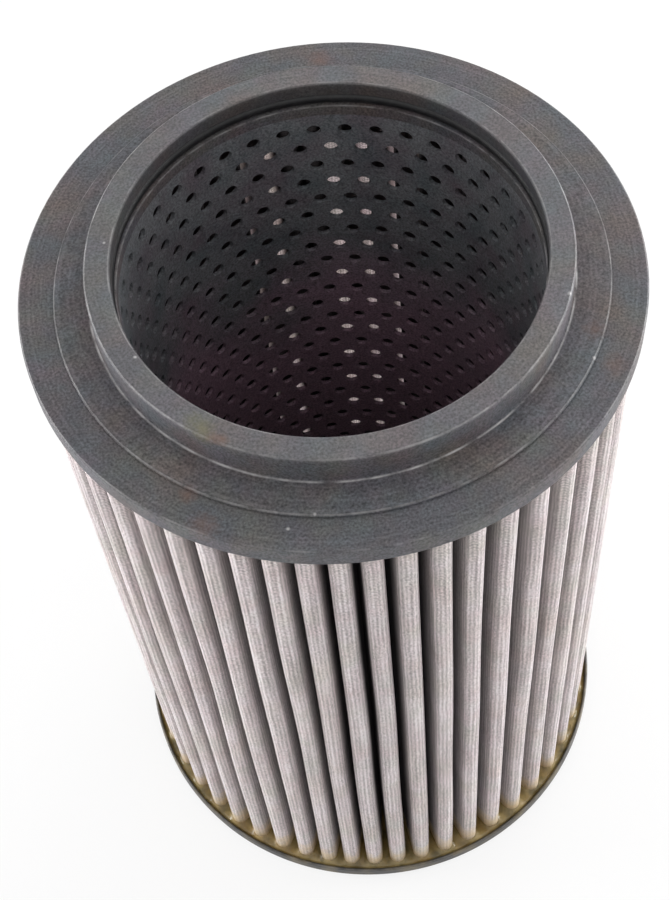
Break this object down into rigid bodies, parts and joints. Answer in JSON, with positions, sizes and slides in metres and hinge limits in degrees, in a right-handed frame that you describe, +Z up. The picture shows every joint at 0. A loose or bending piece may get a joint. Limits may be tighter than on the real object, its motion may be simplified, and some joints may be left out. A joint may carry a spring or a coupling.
{
  "type": "pleated filter element",
  "caption": "Round filter element: pleated wire cloth on a perforated tube between a flanged top cap with a sealed collar and a pan-shaped bottom cap.",
  "frame": {"origin": "centre of the underside of the bottom end cap, on the element's axis", "axes": "+Z up along the element's axis, out of the open bore in the top end cap"},
  "size_m": [0.151, 0.151, 0.2377],
  "materials": {
    "phosphated_steel": "matte, machined, phosphated",
    "seal_rubber": "matte moulded",
    "tube_steel": "dull, perforated sheet",
    "wire_cloth": "woven stainless wire",
    "clip_steel": "folded stainless strip",
    "resin": "cast epoxy resin",
    "pan_steel": "matte pressed sheet"
  },
  "bodies": {
    "root": {"top_end_cap": "phosphated_steel", "bore_seal": "seal_rubber", "centre_tube": "tube_steel", "pleated_wire_cloth": "wire_cloth", "cloth_seam_clip": "clip_steel", "top_resin": "resin", "bottom_resin": "resin", "bottom_end_cap": "pan_steel"}
  },
  "joints": []
}
